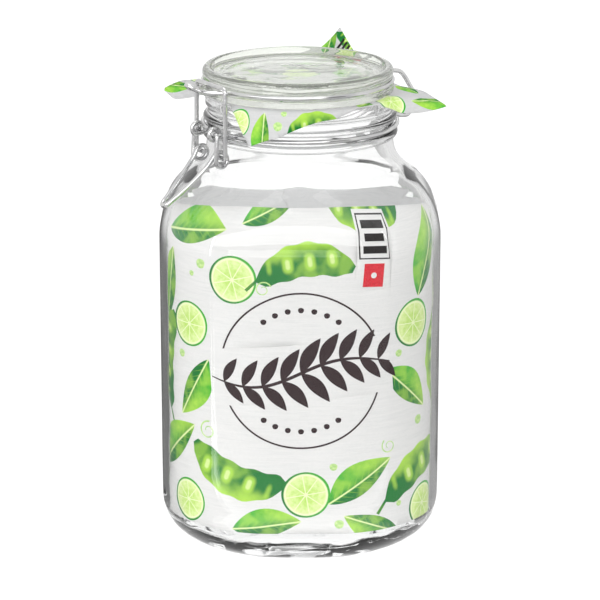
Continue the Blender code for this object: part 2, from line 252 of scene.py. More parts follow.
class Nodes:
    """A node tree, and short ways to the nodes that it needs."""

    def __init__(self, tree):
        self.tree = tree

    def put(self, socket, value):
        if isinstance(value, Tone):
            self.tree.links.new(value.socket, socket)
        elif isinstance(value, tuple) and socket.type == "RGBA":
            socket.default_value = (*value, 1.0)
        else:
            socket.default_value = value

    def node(self, kind, settings=None, sockets=None, out=0):
        made = self.tree.nodes.new(kind)
        for name, value in (settings or {}).items():
            setattr(made, name, value)
        for name, value in (sockets or {}).items():
            self.put(made.inputs[name], value)
        return Tone(self, made.outputs[out])

    def mix(self, factor, first, second):
        made = self.node("ShaderNodeMix", {"data_type": "RGBA"}, {0: factor}, out=2)
        colours = [s for s in made.socket.node.inputs if s.type == "RGBA"]
        self.put(colours[0], first)
        self.put(colours[1], second)
        return made

    def axes(self, vector):
        split = self.node("ShaderNodeSeparateXYZ", sockets={0: vector}).socket.node
        return [Tone(self, out) for out in split.outputs]

    def stretched(self, vector, scale):
        return self.node("ShaderNodeMapping", sockets={"Vector": vector, "Scale": scale})

    def noise(self, vector, scale, detail=3.0, roughness=0.5):
        sockets = {"Vector": vector, "Scale": scale, "Detail": detail, "Roughness": roughness}
        return self.node("ShaderNodeTexNoise", sockets=sockets)


class Finish(Nodes):
    """A material with one Principled shader."""

    def __init__(self, name, colour, roughness, **sockets):
        self.material = bpy.data.materials.new(name)
        self.material.use_nodes = True
        super().__init__(self.material.node_tree)
        self.shader = self.tree.nodes["Principled BSDF"]
        self.set(**{"Base Color": colour, "Roughness": roughness, **sockets})

    def set(self, **sockets):
        for name, value in sockets.items():
            self.put(self.shader.inputs[name], value)

    def coloured(self, colour):
        """Sets the base colour, and gives the finished material."""
        self.set(**{"Base Color": colour})
        return self.material

    def place(self):
        """Object coordinates, in metres."""
        return self.node("ShaderNodeTexCoord", out="Object")

    def print_place(self):
        """The piece's own UV map, which holds the place inside each printed shape."""
        return self.node("ShaderNodeUVMap", {"uv_map": "print"})

    def bump(self, height, distance, strength=1.0):
        sockets = {"Height": height, "Distance": distance, "Strength": strength}
        self.set(Normal=self.node("ShaderNodeBump", sockets=sockets))

    def lets_lamps_through(self, tint):
        """Rays from lamps, and those that light other surfaces, go straight through."""
        from_lamp = self.node("ShaderNodeLightPath", out="Is Shadow Ray")
        lights_others = Tone(self, from_lamp.socket.node.outputs["Is Diffuse Ray"])
        through = from_lamp.most(lights_others)
        glass = Tone(self, self.shader.outputs[0])
        clear = self.node("ShaderNodeBsdfTransparent", sockets={"Color": tint})
        mixed = self.node("ShaderNodeMixShader", sockets={0: through, 1: glass, 2: clear})
        self.put(self.tree.nodes["Material Output"].inputs["Surface"], mixed)


def clear_glass(name, tint, ripple, ripple_scale, clear=1.0):
    """Glass with the slow ripple of a pressed or blown surface."""
    glass = Finish(name, tint, 0.0, **{"Transmission Weight": clear, "IOR": 1.5})
    slow = glass.noise(glass.stretched(glass.place(), (1.0, 1.0, 0.55)), ripple_scale, 2.0, 0.45)
    glass.bump(slow, ripple)
    glass.lets_lamps_through(LAMP_TINT)
    return glass.material


def drawn_steel():
    """Bright wire, a little duller and rougher in places."""
    steel = Finish("bright_wire", STEEL_DULL, 0.16, Metallic=1.0)
    place = steel.place()
    worn = steel.noise(place, 420.0, 4.0, 0.6)
    steel.set(Roughness=worn.ramp(0.35, 0.75, 0.09, 0.20))
    steel.bump(worn, 0.00006)
    dull = steel.noise(place, 90.0, 3.0)
    return steel.coloured(steel.mix(dull.ramp(0.3, 0.7), STEEL_DULL, STEEL_BRIGHT))


def plain_paper(name, colour):
    """Laid paper: fine lines along the roll, soft fibres and a matt face."""
    paper = Finish(name, colour, 0.72, **{"Specular IOR Level": 0.25})
    place = paper.place()
    laid = paper.noise(paper.stretched(place, (60.0, 60.0, 1300.0)), 1.0, 2.0, 0.6)
    fibre = paper.noise(place, 900.0, 4.0, 0.65)
    height = laid * 0.6 + fibre * 0.4
    paper.bump(height, 0.00012, 0.6)
    hollow = tuple(c * shade for c, shade in zip(colour, (0.90, 0.91, 0.91)))
    return paper.coloured(paper.mix(height.ramp(0.30, 0.66), hollow, colour))


def watercolour(name, colour):
    return Finish(name, colour, 0.68, **{"Specular IOR Level": 0.25})


def wash(paint, low, high, amount, scale=3.0):
    """Watercolour blotches between two colours, which follow the printed shape's own place."""
    blotch = paint.noise(paint.print_place(), scale, 3.0, 0.55)
    return paint.mix((amount + (blotch - 0.5) * 1.1).ramp(0.0, 1.0), low, high)


def pale_pools(paint, body):
    """Pale places where the paint is thin."""
    pool = paint.noise(paint.print_place(), 1.7, 2.0, 0.5).ramp(0.48, 0.66, 0.0, 0.5)
    return paint.mix(pool, body, LEAF_LIME)


def leaf_print():
    """A leaf 2 long and about 0.8 wide round its own middle, with a pale midrib and side veins."""
    paint = watercolour("print_leaf", LEAF_MID)
    u, v, _ = paint.axes(paint.print_place())
    across = abs(v)
    body = wash(paint, LEAF_DARK, LEAF_MID, v * 1.7 + 0.14)
    lit = wash(paint, LEAF_MID, LEAF_LIME, u * 0.6 + 0.46)
    body = paint.mix((v * 2.6 + 0.30).ramp(0.0, 1.0), body, lit)
    body = pale_pools(paint, body)
    vein = abs(((u - across * 1.15) * 15.0).sine()).ramp(0.0, 0.26, 0.75, 0.0)
    body = paint.mix(vein * across.ramp(0.30, 0.02), body, LEAF_LIME)
    body = paint.mix(across.ramp(0.012, 0.034, 0.9, 0.0), body, LEAF_PALE)
    return paint.coloured(body)


def pod_print():
    """A bent pod, dark along its back and lime along its belly, with round swellings."""
    paint = watercolour("print_pod", LEAF_MID)
    u, v, _ = paint.axes(paint.print_place())
    body = wash(paint, LEAF_DARK, LEAF_LIME, v * 1.9 + 0.24, 2.2)
    body = pale_pools(paint, body)
    peas = (u * 14.0).sine()
    swell = (peas * 0.5 + 0.5) * abs(v + 0.05).ramp(0.32, 0.05) * abs(u).ramp(0.86, 0.66)
    body = paint.mix(swell.ramp(0.25, 0.8, 0.0, 0.85), body, LEAF_LIME)
    body = paint.mix(swell.ramp(0.82, 0.98, 0.0, 0.7), body, LEAF_PALE)
    return paint.coloured(body)


def wheel_print():
    """A cut wheel of fruit: a dark rind, a pale ring and eight lime segments."""
    paint = watercolour("print_wheel", LEAF_LIME)
    place = paint.print_place()
    u, v, _ = paint.axes(place)
    radius = (u * u + v * v) ** 0.5
    angle = v.maths("ARCTAN2", u)
    divider = abs((angle * 4.0).sine()) * radius
    flesh = wash(paint, LEAF_LIME, LEAF_PALE, radius * 0.6 + 0.25, 5.0)
    flesh = paint.mix(divider.ramp(0.045, 0.11, 0.9, 0.0), flesh, (0.82, 0.90, 0.56))
    flesh = paint.mix(radius.ramp(0.80, 0.83), flesh, (0.80, 0.89, 0.52))
    rind = wash(paint, LEAF_DARK, LEAF_MID, u * 0.5 + 0.55, 4.0)
    flesh = paint.mix(radius.ramp(0.88, 0.93), flesh, rind)
    return paint.coloured(flesh)


def spot_print():
    """Drops and tendrils of thin green paint."""
    paint = watercolour("print_spot", LEAF_LIME)
    return paint.coloured(wash(paint, LEAF_MID, LEAF_PALE, 0.55, 1.5))


def flat_print(name, colour):
    """Even ink with a fine grain."""
    ink = Finish(name, colour, 0.6, **{"Specular IOR Level": 0.1})
    grain = ink.noise(ink.place(), 1400.0, 3.0, 0.6)
    lighter = tuple(1.5 * c + 0.004 for c in colour)
    return ink.coloured(ink.mix(grain.ramp(0.35, 0.7), colour, lighter))


# Helpers for shapes
def keep_only(obj):
    """Leaves one object selected and active, so that an operator acts on nothing else."""
    for other in bpy.context.selected_objects:
        other.select_set(False)
    obj.select_set(True)
    bpy.context.view_layer.objects.active = obj


def mesh_object(name, points, edges=(), faces=()):
    data = bpy.data.meshes.new(name)
    data.from_pydata([tuple(p) for p in points], list(edges), list(faces))
    obj = bpy.data.objects.new(name, data)
    bpy.context.scene.collection.objects.link(obj)
    return obj


def polar(radius, degrees):
    """Point at a distance and an angle from the middle of a plane."""
    angle = math.radians(degrees)
    return radius * math.cos(angle), radius * math.sin(angle)


def arc(centre, radius, start, end, steps):
    places = (polar(radius, start + (end - start) * i / steps) for i in range(steps + 1))
    return [(centre[0] + x, centre[1] + y) for x, y in places]


def merged(obj, distance):
    """Merges doubled points, and turns every face outward."""
    keep_only(obj)
    bpy.ops.object.mode_set(mode="EDIT")
    bpy.ops.mesh.select_all(action="SELECT")
    bpy.ops.mesh.remove_doubles(threshold=distance)
    bpy.ops.mesh.normals_make_consistent(inside=False)
    bpy.ops.object.mode_set(mode="OBJECT")


def turned(name, profile):
    """A profile of (radius, height) spun round the z axis. It begins and ends on the axis."""
    points = [(*polar(r, 180 / GLASS_SIDES), z) for r, z in profile]
    obj = mesh_object(name, points, [(i, i + 1) for i in range(len(points) - 1)])
    keep_only(obj)
    bpy.ops.object.mode_set(mode="EDIT")
    bpy.ops.mesh.select_all(action="SELECT")
    bpy.ops.mesh.spin(steps=GLASS_SIDES, angle=2 * math.pi, center=(0, 0, 0), axis=(0, 0, 1))
    bpy.ops.object.mode_set(mode="OBJECT")
    merged(obj, 0.0005)
    return obj


def finished(obj, materials, body, nodes):
    """Scales the piece from millimetres, gives it its materials and hands it to the frame."""
    for vertex in obj.data.vertices:
        vertex.co *= MM
    for mat in materials:
        obj.data.materials.append(mat)
    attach(obj, body)
    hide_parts(*nodes)


def smooth_shaded(obj, angle):
    keep_only(obj)
    bpy.ops.object.shade_smooth_by_angle(angle=math.radians(angle))


# Directions of the clip's own line
CLIP_OUT = Vector((*polar(-1, CLIP_AZIMUTH), 0))
CLIP_ACROSS = Vector((-CLIP_OUT.y, CLIP_OUT.x, 0))


def clip(o, t, z):
    return CLIP_OUT * o + CLIP_ACROSS * t + Vector((0, 0, z))


# Glass jar
def squared(angle, half, corner):
    """Point at an angle round a square with round corners, by the corner arc that holds it."""
    quarter = math.floor(angle / (math.pi / 2))
    diagonal = (quarter + 0.5) * math.pi / 2
    straight = (half - corner) * math.sqrt(2)
    return (
        straight * math.cos(diagonal) + corner * math.cos(angle),
        straight * math.sin(diagonal) + corner * math.sin(angle),
    )


def shoulder_half(z, inset):
    """Half width of the side and shoulder at a height, for a skin this far inside the glass."""
    radius = SHOULDER_R - inset
    if z <= SHOULDER_Z:
        return HALF_WIDTH - inset
    centre = HALF_WIDTH - SHOULDER_R
    slope_z = SHOULDER_Z + radius * math.sqrt(0.5)
    if z <= slope_z:
        return centre + math.sqrt(radius**2 - (z - SHOULDER_Z) ** 2)
    return centre + radius * math.sqrt(0.5) - (z - slope_z)


def bead(z, radius, height, foot_r):
    """A bead's rows, from below to above, on a wall of radius foot_r."""
    circle = arc((0, 0), 1, -90, 90, 12)
    return [(foot_r + (radius - foot_r) * max(0.0, out) ** 0.9, z + height / 2 * up) for out, up in circle]


def neck_hollow(neck_r, inset, radius):
    """The hollow curve from the shoulder's slope up to the upright neck."""
    slope = shoulder_half(SHOULDER_Z + SHOULDER_R, inset) + SHOULDER_Z + SHOULDER_R
    top = slope - neck_r + radius * math.tan(math.radians(22.5))
    return arc((neck_r + radius, top), radius, 225, 180, 9)


def heel_curve(start_r, end_r, start_z, height, steps):
    """A quarter of an ellipse, from level at the floor to upright at the side."""
    turns = [math.radians(90 * step / steps) for step in range(steps + 1)]
    width = end_r - start_r
    return [(start_r + width * math.sin(turn), start_z + height * (1 - math.cos(turn))) for turn in turns]


def outside_profile():
    """Rows (half width, height) from the middle of the underside up to the mouth."""
    foot = [(0.0, 2.6), (14.0, 2.6), (28.0, 2.4), (38.0, 1.7), (44.0, 0.8), (47.5, 0.15), (49.5, 0.0)]
    heel = heel_curve(FOOT_R, HALF_WIDTH, 0.0, HEEL_HEIGHT, 12)
    side = [(HALF_WIDTH, z) for z in range(34, 160, 9)]
    shoulder = arc((HALF_WIDTH - SHOULDER_R, SHOULDER_Z), SHOULDER_R, 0, 45, 14)
    slope = [(shoulder_half(z, 0.0), z) for z in (193.5, 197.0)]
    neck = neck_hollow(NECK_R, 0.0, NECK_HOLLOW_R) + [(NECK_R, 211.5)]
    neck += bead(*LOWER_BEAD, NECK_R) + bead(*UPPER_BEAD, NECK_R - 0.4)
    neck += [(NECK_R - 0.6, 226.0), (NECK_R - 0.5, 227.6), (NECK_R - 0.1, 228.6)]
    lip = arc((RIM_R - LIP_R, 229.9), LIP_R, -60, 0, 3) + [(RIM_R, 232.0)]
    lip += arc((RIM_R - RIM_EDGE_R, MOUTH_Z - RIM_EDGE_R), RIM_EDGE_R, 0, 90, 5)
    return foot + heel + side + shoulder + slope + neck + lip


def inside_profile():
    """Rows from the mouth down the inside to the middle of the floor."""
    lip = arc((MOUTH_INNER_R + RIM_EDGE_R, MOUTH_Z - RIM_EDGE_R), RIM_EDGE_R, 90, 180, 5)
    neck = [(MOUTH_INNER_R, z) for z in (229.0, 222.0, 216.0)]
    neck += reversed(neck_hollow(MOUTH_INNER_R, WALL, INNER_NECK_HOLLOW_R))
    inner = SHOULDER_R - WALL
    shoulder = arc((HALF_WIDTH - SHOULDER_R, SHOULDER_Z), inner, 45, 0, 14)
    side = [(HALF_WIDTH - WALL, z) for z in range(151, 26, -9)]
    heel = reversed(heel_curve(FLOOR_R, HALF_WIDTH - WALL, FLOOR_Z, INNER_HEEL_HEIGHT, 10))
    floor = [(46.0, 6.9), (36.0, 6.7), (20.0, 7.0), (0.0, 7.4)]
    return lip + neck + shoulder + side + list(heel) + floor


def corner_of(half):
    """Corner radius where the plan is this wide: a circle while it is narrow, and squarer below."""
    if half <= ROUND_HALF:
        return half
    widening = min(1.0, (half - ROUND_HALF) / (HALF_WIDTH - ROUND_HALF))
    return min(half, ROUND_HALF + (CORNER_R - ROUND_HALF) * widening)


def outer_half(z):
    """Half width of the glass's outside at a height."""
    if z < HEEL_HEIGHT:
        return FOOT_R + (HALF_WIDTH - FOOT_R) * math.sin(math.acos(1 - z / HEEL_HEIGHT))
    return shoulder_half(z, 0.0)


def uneven(angle, z):
    """How far pressed glass strays from its form at the heel, from -1 to 1, as waves round the jar."""
    waves = ((3, 0.31, 0.4), (5, 0.23, 2.1), (8, -0.41, 0.9), (13, 0.52, 4.0), (21, -0.7, 1.3))
    return sum(math.sin(k * angle + f * z + p) for k, f, p in waves) / 2.6


def glass_body():
    """The profile spun round, then drawn out to a square with round corners below the shoulder."""
    jar = turned("glass_body", outside_profile() + inside_profile())
    for vertex in jar.data.vertices:
        x, y, z = vertex.co
        half = math.hypot(x, y)
        if half < 0.01 or z > ROUND_ABOVE_Z:
            continue
        angle = math.atan2(y, x)
        on_inside = z > FLOOR_Z - 0.5 and half < outer_half(z) - WALL / 2
        inset = WALL if on_inside and half > ROUND_HALF_INSIDE else 0.0
        corner = max(corner_of(half + inset) - inset, 1.0)
        vertex.co.xy = squared(angle, half, min(half, corner))
        if z < WAVY_TOP_Z and half > WAVY_FROM_R:
            share = min(1.0, (WAVY_TOP_Z - z) / WAVY_FADE)
            wave, sway = (INSIDE_WAVE, INSIDE_SWAY) if on_inside else (OUTSIDE_WAVE, OUTSIDE_SWAY)
            if z > 1.0:
                vertex.co.z += wave * share * uneven(angle, 2.0 * half)
            vertex.co.xy *= 1 + sway * share * uneven(angle + 1.0, z)
    smooth_shaded(jar, 50)
    return jar


def lid_profile():
    """Rows (radius, height) over the lid, from its underside's middle to its top's middle."""
    depth = WIRE_R + GAP
    under = [(0.0, 2.9), (20.0, 2.9), (36.0, 2.7), (40.5, 2.3), (42.2, 1.5), (43.2, 0.25), (44.0, 0.0)]
    under = [(r, LID_BOTTOM_Z + up) for r, up in under + [(LID_BAND_R - 1.0, 0.0)]]
    edge_r = LID_BAND_EDGE_R
    band = arc((LID_BAND_R - edge_r, LID_BOTTOM_Z + edge_r), edge_r, -70, 0, 4)
    band += [(LID_BAND_R, LID_GROOVE_Z - depth - 0.9)]
    band += arc((LID_BAND_R - 0.7, LID_GROOVE_Z - depth - 0.75), 0.7, 0, 80, 4)
    groove = arc((LID_GROOVE_R + depth, LID_GROOVE_Z), depth, 250, 110, 10)
    rim = [(LID_RIM_R - 0.3, LID_GROOVE_Z + 1.55), (LID_RIM_R, LID_GROOVE_Z + 2.1)]
    rim += [(LID_RIM_R, LID_TOP_Z - 2.6)]
    rim += arc((LID_RIM_R - LID_RIM_EDGE_R, LID_TOP_Z - LID_RIM_EDGE_R), LID_RIM_EDGE_R, 8, 90, 8)
    rim += arc((LID_RIM_R - 2.9, LID_TOP_Z - 1.2), 1.2, 95, 165, 4)
    dish = [(44.4, 1.7), (43.6, 2.6), (42.4, 3.3), (40.4, 3.65), (38.4, 3.7), (36.6, 3.45), (35.0, 3.0)]
    dish += [(33.4, 2.75), (31.5, 2.7), (27.0, 2.8), (18.0, 3.0), (0.0, 3.1)]
    return under + band + groove + rim + [(r, LID_TOP_Z - down) for r, down in dish]


def glass_lid():
    lid = turned("glass_lid", lid_profile())
    shift = clip(LID_SHIFT, 0, 0)
    for vertex in lid.data.vertices:
        vertex.co += shift
    smooth_shaded(lid, 50)
    return lid


# Wire clip
def rounded(points, radius):
    """The same route with each inner corner turned into an arc of at most this radius."""
    route = [points[0]]
    for before, corner, after in zip(points, points[1:], points[2:]):
        back, ahead = before - corner, after - corner
        turn = math.pi - back.angle(ahead)
        if turn < math.radians(4):
            route.append(corner)
            continue
        reach = min(radius * math.tan(turn / 2), 0.45 * back.length, 0.45 * ahead.length)
        bend = reach / math.tan(turn / 2)
        middle = (back.normalized() + ahead.normalized()).normalized()
        centre = corner + middle * (bend / math.cos(turn / 2))
        first = corner + back.normalized() * reach - centre
        last = corner + ahead.normalized() * reach - centre
        steps = max(2, math.ceil(math.degrees(turn) / BEND_STEP))
        for i in range(steps + 1):
            share = i * turn / steps
            route.append(centre + (first * math.sin(turn - share) + last * math.sin(share)) / math.sin(turn))
    route.append(points[-1])
    return route


def smooth(points, steps=8):
    """A Catmull-Rom curve through every point."""
    ends = [2 * points[0] - points[1], *points, 2 * points[-1] - points[-2]]
    route = []
    for a, b, c, d in zip(ends, ends[1:], ends[2:], ends[3:]):
        for i in range(steps):
            u = i / steps
            square, cube = 2 * a - 5 * b + 4 * c - d, 3 * b - a - 3 * c + d
            route.append(0.5 * (2 * b + (c - a) * u + square * u * u + cube * u**3))
    route.append(points[-1])
    return route


def loop(centre_o, centre_z, radius, start, end, t_start, t_end, steps):
    """A turn of wire about a line across the clip, which drifts from t_start to t_end."""
    turn = arc((centre_o, centre_z), radius, start, end, steps)
    return [clip(o, t_start + (t_end - t_start) * i / steps, z) for i, (o, z) in enumerate(turn)]


def ring_route(radius, z, start, end, steps, shift=0.0):
    """A level stretch of ring round the jar, from one angle off the clip's line to another."""
    return [clip(o + shift, t, z) for o, t in arc((0, 0), radius, start, end, steps)]


def mirrored(point):
    return point - 2 * CLIP_ACROSS * point.dot(CLIP_ACROSS)


def both_sides(near):
    """A route on one side of the clip's line, carried on over to the other."""
    far = near[:-1] if abs(near[-1].dot(CLIP_ACROSS)) < 0.001 else near
    return near + [mirrored(point) for point in reversed(far)]


def drawn_wire(name, route, body, node):
    """A round wire along a route, with its cut ends capped."""
    curve = bpy.data.curves.new(name, "CURVE")
    curve.dimensions = "3D"
    curve.bevel_depth = WIRE_DRAWN_R
    curve.bevel_resolution = 7
    curve.use_fill_caps = True
    spline = curve.splines.new("POLY")
    spline.points.add(len(route) - 1)
    for point, place in zip(spline.points, route):
        point.co = (*place, 1.0)
    obj = bpy.data.objects.new(name, curve)
    bpy.context.scene.collection.objects.link(obj)
    keep_only(obj)
    bpy.ops.object.convert(target="MESH")
    merged(obj, 0.0001)
    smooth_shaded(obj, 60)
    finished(obj, [STEEL], body, [node])


def collar():
    eye = loop(PIVOT_O, PIVOT_Z, EYE_R, 175, -78, EYE_T, EYE_T, 28)
    on_ring_o = math.sqrt(COLLAR_R**2 - EYE_T**2)
    half_ring = ring_route(COLLAR_R, COLLAR_Z, 19, 161, 60)
    stem = [
        eye[-1],
        clip(PIVOT_O - 3.4, EYE_T, COLLAR_Z - 1.0),
        clip(on_ring_o, EYE_T, COLLAR_Z),
        half_ring[0],
    ]
    at_hinge_o = -math.sqrt(COLLAR_R**2 - HINGE_EYE_T**2)
    hinge_stem = [
        half_ring[-1],
        clip(at_hinge_o, HINGE_EYE_T, COLLAR_Z),
        clip(HINGE_O + 4.5, HINGE_EYE_T, HINGE_Z - EYE_R + 0.4),
        clip(HINGE_O + 0.6, HINGE_EYE_T, HINGE_Z - EYE_R),
    ]
    inner_t = HINGE_EYE_T - COIL_PITCH
    hinge_eye = loop(HINGE_O, HINGE_Z, EYE_R, -100, -425, HINGE_EYE_T, inner_t, 36)
    cross = [
        hinge_eye[-1],
        clip(HINGE_O - 1.0, inner_t - 1.6, HINGE_Z - EYE_R - 0.2),
        clip(HINGE_O - 1.0, 0, HINGE_Z - EYE_R - 0.2),
    ]
    near = eye[:-1] + rounded(stem, 2.2)[:-1] + half_ring + rounded(hinge_stem, 2.2)[1:]
    near += hinge_eye[:-1] + rounded(cross, 1.6)
    drawn_wire("wire_collar", both_sides(near), "jar", "collar_wire")


def nose_z(o):
    """The nose lies flat over the lid's edge, then rises towards its tip."""
    return LID_GROOVE_Z + NOSE_RISE * max(0.0, o - NOSE_FLAT_O) ** 2


def lid_wire():
    radius = LID_GROOVE_R + WIRE_R + GAP
    pin_end = HINGE_EYE_T - COIL_PITCH - 2.0
    rise = ((0.0, 0.0), (-2.4, 4.8), (-2.0, 10.0), (0.4, 14.2), (3.1, 18.3))
    arm = [clip(HINGE_O + out, HINGE_ARM_T, HINGE_Z + up) for out, up in rise]
    arm.append(clip(HINGE_O + 6.2, HINGE_ARM_T, LID_GROOVE_Z - 1.1))
    arm.append(clip(HINGE_O + 10.5, HINGE_ARM_T, LID_GROOVE_Z))
    arm = smooth(arm)
    pin = [clip(HINGE_O, pin_end, HINGE_Z), clip(HINGE_O, HINGE_ARM_T, HINGE_Z), arm[5]]
    half_ring = ring_route(radius, LID_GROOVE_Z, 160, 22, 60, LID_SHIFT)
    corner_o = LID_SHIFT - math.sqrt(radius**2 - HINGE_ARM_T**2)
    join = [arm[-1], clip(corner_o, HINGE_ARM_T, LID_GROOVE_Z), half_ring[0]]
    strand = [(48.2, 13.6), (50.8, 10.4), (54.5, 7.6), (59.0, 5.4), (62.8, 4.0)]
    nose = smooth([half_ring[-1]] + [clip(o, t, nose_z(o)) for o, t in strand])
    tip = [clip(o, t, nose_z(o)) for o, t in arc((NOSE_TIP_O - NOSE_TIP_R, 0), NOSE_TIP_R, 80, 0, 8)]
    near = rounded(pin, 1.4)[:-1] + arm[5:-1] + rounded(join, 2.4)[:-1]
    near += half_ring[:-1] + nose + tip
    drawn_wire("wire_lid_hoop", both_sides(near), "lid", "lid_wire")


def bail():
    pin_end = LEVER_T - COIL_PITCH - 1.6
    corners = [
        clip(COIL_O, pin_end, COIL_Z + PIN_SEAT),
        clip(COIL_O, BAIL_T, COIL_Z + PIN_SEAT),
        clip(BAR_O, BAIL_T, BAR_Z),
        clip(BAR_O, 0, BAR_Z),
    ]
    drawn_wire("wire_bail", both_sides(rounded(corners, 2.4)), "bail", "bail")


def lever():
    inner_t = LEVER_T - COIL_PITCH
    coil = loop(COIL_O, COIL_Z, COIL_R, 4.0, -323.0, LEVER_T, inner_t, 40)
    pin = [clip(PIVOT_O, EYE_T - 2.4, PIVOT_Z), clip(PIVOT_O, LEVER_T, PIVOT_Z), coil[0]]
    arm = [(60.2, 7.9, 205.2), (66.4, 6.5, 199.0), (72.8, 4.9, 193.3), (78.0, 3.2, 189.0)]
    tip = [(80.4, 2.5, 187.1), (81.7, 1.3, 186.1), (LEVER_TIP_O, 0.0, LEVER_TIP_Z)]
    long_arm = [coil[-1]] + [clip(*place) for place in arm + tip]
    near = rounded(pin, 1.8)[:-1] + coil[:-1] + smooth(long_arm, 6)
    drawn_wire("wire_lever", both_sides(near), "lever", "lever")


# Outlines of the printed shapes, each round its own middle and about 2 long
def leaf_outline():
    """A bent leaf, pointed at both ends and fullest towards its stalk."""
    top = []
    for i in range(17):
        share = i / 16
        width = 0.44 * math.sin(math.pi * share) ** 0.85 * (1.15 - 0.3 * share)
        top.append((-1 + 2 * share, width))
    bottom = [(x, -0.92 * y) for x, y in reversed(top[1:-1])]
    return [(x, y + 0.10 * (1 - x * x)) for x, y in top + bottom]


def pod_outline():
    """A crescent with a stalk at its left end and a short tail at its right."""
    found = []
    for i in range(25):
        x = -1 + 2 * i / 24
        found.append((x, 0.34 * (1 - abs(x) ** 3.2) ** 0.6 + 0.02 * math.sin(14 * x)))
    back = [(x, -y) for x, y in reversed(found[1:-1])]
    stalk = [(-1.0, -0.03), (-1.22, -0.05), (-1.26, 0.03), (-1.0, 0.04)]
    return [(x, y - 0.30 * x * x) for x, y in found[1:] + back[:-1] + stalk]


def round_outline(steps, wobble):
    """A round shape that strays from a circle by a share of its radius."""
    return [
        ((1 + wobble * math.sin(3 * a)) * math.cos(a), (1 + wobble * math.cos(2 * a)) * math.sin(a))
        for a in (2 * math.pi * i / steps for i in range(steps))
    ]


def tendril_outline(turns=1.3, thickness=0.075):
    """A curl of thin line that winds in."""
    outer, inner = [], []
    for i in range(34):
        share = i / 33
        angle = 2 * math.pi * turns * share
        reach = 0.85 * (1 - 0.72 * share)
        x, y = reach * math.cos(angle) - 0.1, reach * math.sin(angle)
        width = thickness * (1 - 0.5 * share)
        outer.append((x + width * math.cos(angle), y + width * math.sin(angle)))
        inner.append((x - width * math.cos(angle), y - width * math.sin(angle)))
    return outer + inner[::-1]


def stroke_outline(bend, thickness=0.02):
    """A long pen stroke that swells in the middle and bends like a wave."""
    top, bottom = [], []
    for i in range(41):
        x = -1 + i / 20
        y = bend * math.sin(math.pi * x)
        width = thickness * (0.35 + 0.65 * math.cos(math.pi * x / 2))
        top.append((x, y + width))
        bottom.append((x, y - width))
    return top + bottom[::-1]


OUTLINES = {
    "leaf": leaf_outline(),
    "pod": pod_outline(),
    "wheel": round_outline(48, 0.015),
    "spot": round_outline(18, 0.05),
    "tendril": tendril_outline(),
    "bar": [(-1, -1), (1, -1), (1, 1), (-1, 1)],
    "disc": round_outline(96, 0.0),
    "stroke": stroke_outline(0.12),
}


def box_of(outline):
    xs, ys = zip(*outline)
    return (min(xs), min(ys), max(xs), max(ys))


def inside(outline, box, x, y):
    """True if the point lies inside the outline, whose box is given to save time."""
    if not (box[0] <= x <= box[2] and box[1] <= y <= box[3]):
        return False
    found = False
    x0, y0 = outline[-1]
    for x1, y1 in outline:
        if (y0 > y) != (y1 > y) and x < (x1 - x0) * (y - y0) / (y1 - y0) + x0:
            found = not found
        x0, y0 = x1, y1
    return found


class Mark:
    """One printed shape: its outline, where it lies on the flat paper, and the ink that fills it."""

    def __init__(self, shape, ink, x, y, size, turn=0.0, tall=None):
        self.ink = ink
        self.x, self.y = x, y
        self.size = size
        self.tall = size if tall is None else tall
        self.cos, self.sin = polar(1, turn)
        self.outline = [self.on_paper(a, b) for a, b in OUTLINES[shape]]
        self.box = box_of(self.outline)

    def on_paper(self, a, b):
        a, b = a * self.size, b * self.tall
        return (self.x + a * self.cos - b * self.sin, self.y + a * self.sin + b * self.cos)

    def own_place(self, x, y):
        """Where a point of the paper lies in the shape's own frame."""
        dx, dy = x - self.x, y - self.y
        return ((dx * self.cos + dy * self.sin) / self.size, (dy * self.cos - dx * self.sin) / self.tall)

    def holds(self, x, y):
        return inside(self.outline, self.box, x, y)


def cut_into_regions(edge, marks, grid):
    """The flat paper as triangles, each with the last mark that covers it, or None where it is bare."""
    points, edges = [], []

    def add_line(line):
        first = len(points)
        points.extend(Vector(p) for p in line)
        edges.extend((first + i, first + (i + 1) % len(line)) for i in range(len(line)))

    add_line(edge)
    for mark in marks:
        add_line(mark.outline)
    edge_box = box_of(edge)
    points.extend(Vector(p) for p in grid if inside(edge, edge_box, *p))
    flat, _, triangles, *_ = delaunay_2d_cdt(points, edges, [], 0, 0.001)
    regions = []
    for triangle in triangles:
        x, y = (sum(flat[i][axis] for i in triangle) / 3 for axis in (0, 1))
        if inside(edge, edge_box, x, y):
            covering = [mark for mark in marks if mark.holds(x, y)]
            regions.append((triangle, covering[-1] if covering else None))
    return flat, regions


